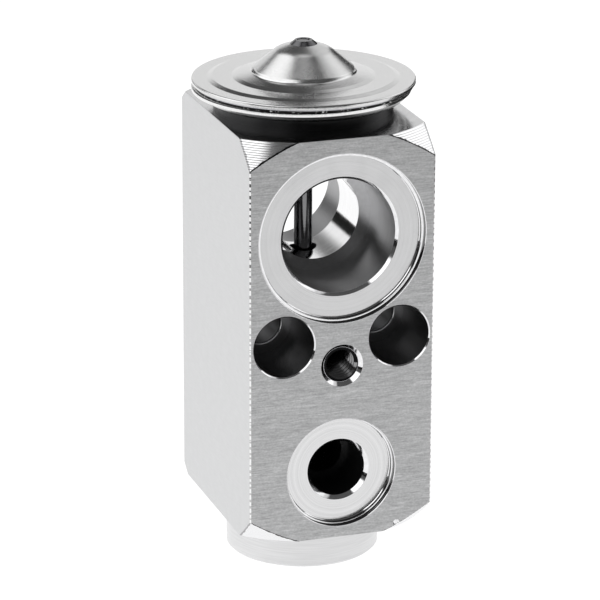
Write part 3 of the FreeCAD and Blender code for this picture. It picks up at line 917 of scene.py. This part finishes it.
def open_sheet(name, corners, sheet, finish):
    """Turned sheet of even thickness below an outer line."""
    shell = paint(turned(name, rounded(corners)), finish)
    choose(shell)
    if sum(face.normal.z for face in shell.data.polygons) < 0:
        bpy.ops.object.mode_set(mode="EDIT")
        bpy.ops.mesh.select_all(action="SELECT")
        bpy.ops.mesh.flip_normals()
        bpy.ops.object.mode_set(mode="OBJECT")
    bpy.ops.object.modifier_add(type="SOLIDIFY")
    wall = shell.modifiers[-1]
    wall.thickness = sheet
    wall.offset = -1
    wall.use_even_offset = True
    bpy.ops.object.modifier_apply(modifier=wall.name)
    return shell


def round_edges(piece, width):
    """Rounds the sharp edges of a sheet."""
    choose(piece)
    bpy.ops.object.modifier_add(type="BEVEL")
    bevel = piece.modifiers[-1]
    bevel.width = width
    bevel.segments = 5
    bevel.limit_method = "ANGLE"
    bevel.angle_limit = math.radians(60)
    bpy.ops.object.modifier_apply(modifier=bevel.name)
    return piece


def stamped_cover():
    corners = [
        (rim_radius, cover_rim_top - cover_edge, 0),
        (rim_radius, cover_rim_top, cover_nose),
    ]
    height = cover_rim_top
    for foot_radius, top_radius in cover_steps:
        corners.append((foot_radius, height, cover_step_fillet))
        height += cover_step_rise
        corners.append((top_radius, height, cover_step_fillet))
    corners += [(radius, cover_rim_top + rise, fillet) for radius, rise, fillet in dome_line]
    shell = open_sheet("stamped_cover", corners, cover_sheet, head_steel)
    zone(shell, dome_steel, cover_rim_top + dome_foot_rise, cover_top, outer=dome_radius)
    return finish_piece(shell, "housing", "head_steel", "upper_cover", smooth=22)


def charge_plug():
    corners = [(radius, plug_seat + height, fillet) for radius, height, fillet in plug_line]
    plug = paint(turned("dome_plug", rounded(corners), 96), plug_steel)
    return finish_piece(plug, "housing", "plug_steel", "charge_plug")


def stamped_dish():
    edge = dish_high.z - dish_edge_drop
    floor_height = dish_low.z + dish_sheet
    lip_width, lip_fillet = dish_lip
    flat_radius, flat_fillet = dish_flat
    floor_radius, floor_fillet = dish_floor
    shell = open_sheet("stamped_dish", [
        (rim_radius, edge, 0),
        (rim_radius - lip_width, edge, lip_fillet),
        (flat_radius, dish_high.z, flat_fillet),
        (floor_radius, floor_height, floor_fillet),
        (dish_hole_radius, floor_height, 0),
    ], dish_sheet, dark_steel)
    round_edges(shell, dish_edge_round)
    # painted shade and highlight: lighter under the flange, bright at the lip, dark further in
    zone(shell, flange_steel_painted_shade, dish_low.z, dish_high.z + OVERCUT, inner=dish_shade_radius)
    zone(shell, lip_steel_painted_highlight, dish_low.z, dish_high.z + OVERCUT, inner=rim_radius - dish_edge_round)
    for corner in shell.data.vertices:
        flange = (corner.co.xy.length - dish_trim_start) / (rim_radius - dish_trim_start)
        if flange > 0:
            corner.co.xy *= 1 - dish_trim * flange / rim_radius
            corner.co.x -= dish_trim * flange
    return finish_piece(shell, "housing", "head_steel", "lower_housing")


def neck_ring():
    """Thick lower part of the collar, on which the dish sits, painted near black as shade under the
    dish.
    """
    inside = collar_radius - neck_overlap
    ring = paint(turned("neck_ring", rounded([
        (inside, block_top, 0),
        (neck_radius, block_top, 0),
        (neck_radius, dish_low.z, 0),
        (inside, dish_low.z, 0),
        (inside, block_top, 0),
    ])), neck_steel)
    return finish_piece(ring, "housing", "turned_steel")


def rim_weld():
    """Uneven bead that joins cover and dish, dark as a weld and darker as painted shade of the groove
    it fills.
    """
    low = dish_high.z - dish_edge_drop + weld_foot_lift
    high = cover_rim_top - cover_edge + weld_overlap
    root = weld_bead_radius - weld_root_depth
    bead = paint(turned("rim_weld", rounded([
        (root, low, 0),
        (weld_bead_radius, low, 0.06),
        (weld_bead_radius - weld_bead_slope, high, 0),
        (root, high, 0),
        (root, low, 0),
    ], 2), weld_steps), weld_and_groove_shade_steel)
    for corner in bead.data.vertices:
        if corner.co.xy.length > root + HAIR:
            corner.co.xy *= 1 + random.uniform(-weld_waver, weld_waver) / weld_bead_radius
    return finish_piece(bead, "housing", "head_steel", smooth=60)


def coil_spring():
    """The coil spring in two halves, cut apart at its middle."""
    middle = (spring_low.z + spring_high.z) / 2 / TO_MM
    halves = []
    for name, joint, upper in (
        ("spring_upper_half", "valve_stroke", True),
        ("spring_lower_half", "adjuster_travel", False),
    ):
        choose(frame["nodes"]["bias_spring"])
        bpy.ops.object.duplicate()
        half = paint(bpy.context.object, spring_steel)
        half.name = name
        bpy.ops.object.mode_set(mode="EDIT")
        bpy.ops.mesh.select_all(action="SELECT")
        bpy.ops.mesh.remove_doubles(threshold=SAME_PLACE / TO_MM)
        bpy.ops.mesh.bisect(plane_co=(0, 0, middle), plane_no=(0, 0, 1), use_fill=True,
                            clear_inner=upper, clear_outer=not upper)
        bpy.ops.mesh.select_all(action="SELECT")
        bpy.ops.mesh.normals_make_consistent(inside=False)
        bpy.ops.object.mode_set(mode="OBJECT")
        bpy.ops.object.shade_smooth_by_angle(angle=math.radians(40))
        halves.append((half, joint))
    for half, joint in halves:
        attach(half, "housing")
        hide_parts("bias_spring")
        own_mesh(half)


def dress_nodes():
    """Finishes of the nodes that keep their shape."""
    for node, finish in {
        "diaphragm": spring_steel,
        "threaded_collar": dark_steel,
        "head_seal_ring": rubber,
        # the collar gets the dark tone of painted shade under the head
        "diaphragm_plate": turned_steel,
        "push_rod": rod_steel,
        "rod_seal_ring": rubber,
        "seal_washer": turned_steel,
        "seal_retainer": retainer_steel,
        "seat_ring": turned_steel,
        "valve_ball": rod_steel,
        "ball_carrier": turned_steel,
        "damping_spring": spring_steel,
        "adjusting_screw": screw_turned,
        "adjuster_seal_ring": rubber,
    }.items():
        paint(frame["nodes"][node], finish)


# Studio

def floor():
    deselect()
    bpy.ops.mesh.primitive_plane_add(size=FLOOR_SIZE, location=(0, 0, 0))
    ground = bpy.context.object
    ground.name = "studio_floor"
    finish = Finish("pale_floor", (0.2, 0.2, 0.2), 0.9, metallic=0.0)
    finish.shader.inputs["Emission Color"].default_value = (1, 1, 1, 1)
    finish.shader.inputs["Emission Strength"].default_value = FLOOR_GLOW
    ground.data.materials.append(finish.done())


def black_cards():
    black = plain_finish("black_card", (0, 0, 0), 1.0, metallic=0.0)
    for radius, low, high, first, width in BLACK_CARDS:
        profile = [(radius, low), (radius, high)]
        card = paint(turned("black_card", profile, 24, math.radians(width)), black)
        card.rotation_euler = (0, 0, math.radians(first + width))    # spin turns clockwise
        card.scale = (1 / TO_MM,) * 3
        bpy.ops.object.transform_apply(location=True, rotation=True, scale=True)
        card.visible_camera = False
        card.visible_diffuse = False
        card.visible_shadow = False


def surroundings():
    """Dim room with a light horizon behind the object, soft boxes and a black flag."""
    world = bpy.data.worlds.new("studio")
    bpy.context.scene.world = world
    world.use_nodes = True
    tree = world.node_tree
    link = tree.links.new
    background = tree.nodes["Background"]
    direction = tree.nodes.new("ShaderNodeTexCoord").outputs["Generated"]

    def fade(value, start, end, low, high):
        ramp = tree.nodes.new("ShaderNodeMapRange")
        ramp.interpolation_type = "SMOOTHSTEP"
        link(value, ramp.inputs["Value"])
        for key, number in zip(("From Min", "From Max", "To Min", "To Max"), (start, end, low, high)):
            ramp.inputs[key].default_value = number
        return ramp.outputs[0]

    def combine(operation, first, second):
        node = tree.nodes.new("ShaderNodeMath")
        node.operation = operation
        link(first, node.inputs[0])
        if isinstance(second, float):
            node.inputs[1].default_value = second
        else:
            link(second, node.inputs[1])
        return node.outputs[0]

    def spot(aim_at, half_width, edge, outside, inside):
        facing = tree.nodes.new("ShaderNodeVectorMath")
        facing.operation = "DOT_PRODUCT"
        link(direction, facing.inputs[0])
        facing.inputs[1].default_value = Vector(aim_at).normalized()
        outer = math.cos(math.radians(half_width + edge))
        inner = math.cos(math.radians(half_width - edge))
        return fade(facing.outputs["Value"], outer, inner, outside, inside)

    parts = tree.nodes.new("ShaderNodeSeparateXYZ")
    link(direction, parts.inputs[0])
    low = fade(parts.outputs["Z"], *HORIZON_TOP, HORIZON_GLOW - CEILING_GLOW, 0)
    behind = fade(parts.outputs["Y"], *HORIZON_FRONT, 0, 1)
    total = combine("ADD", combine("MULTIPLY", low, behind), CEILING_GLOW)
    for aim_at, half_width, edge, brightness in SOFT_BOXES:
        total = combine("MAXIMUM", total, spot(aim_at, half_width, edge, 0, brightness))
    total = combine("MULTIPLY", total, spot(*BLACK_FLAG, 1, BLACK_FLAG_GLOW))
    background.inputs["Color"].default_value = (1, 1, 1, 1)
    link(total, background.inputs["Strength"])


def camera():
    azimuth = math.radians(CAMERA_AZIMUTH)
    elevation = math.radians(CAMERA_ELEVATION)
    roll = math.radians(CAMERA_ROLL)
    back = Vector((math.sin(azimuth) * math.cos(elevation), -math.cos(azimuth) * math.cos(elevation),
                   math.sin(elevation)))
    right = Vector((math.cos(azimuth), math.sin(azimuth), 0))
    up = back.cross(right)
    rolled_right = right * math.cos(roll) + up * math.sin(roll)
    rolled_up = up * math.cos(roll) - right * math.sin(roll)
    lens = bpy.data.cameras.new("photo_camera")
    lens.lens = CAMERA_LENS
    lens.sensor_width = CAMERA_SENSOR
    lens.shift_x, lens.shift_y = CAMERA_SHIFT
    lens.clip_start = 0.01
    eye = bpy.data.objects.new("photo_camera", lens)
    bpy.context.scene.collection.objects.link(eye)
    turn = Matrix((rolled_right, rolled_up, back)).transposed().to_4x4()
    eye.matrix_world = Matrix.Translation(Vector(CAMERA_TARGET) + back * CAMERA_DISTANCE) @ turn
    bpy.context.scene.camera = eye


camera()
floor()
black_cards()
surroundings()
bpy.context.scene.view_settings.view_transform = "Standard"

dress_nodes()
milled_block()
stamped_cover()
charge_plug()
stamped_dish()
neck_ring()
rim_weld()
coil_spring()
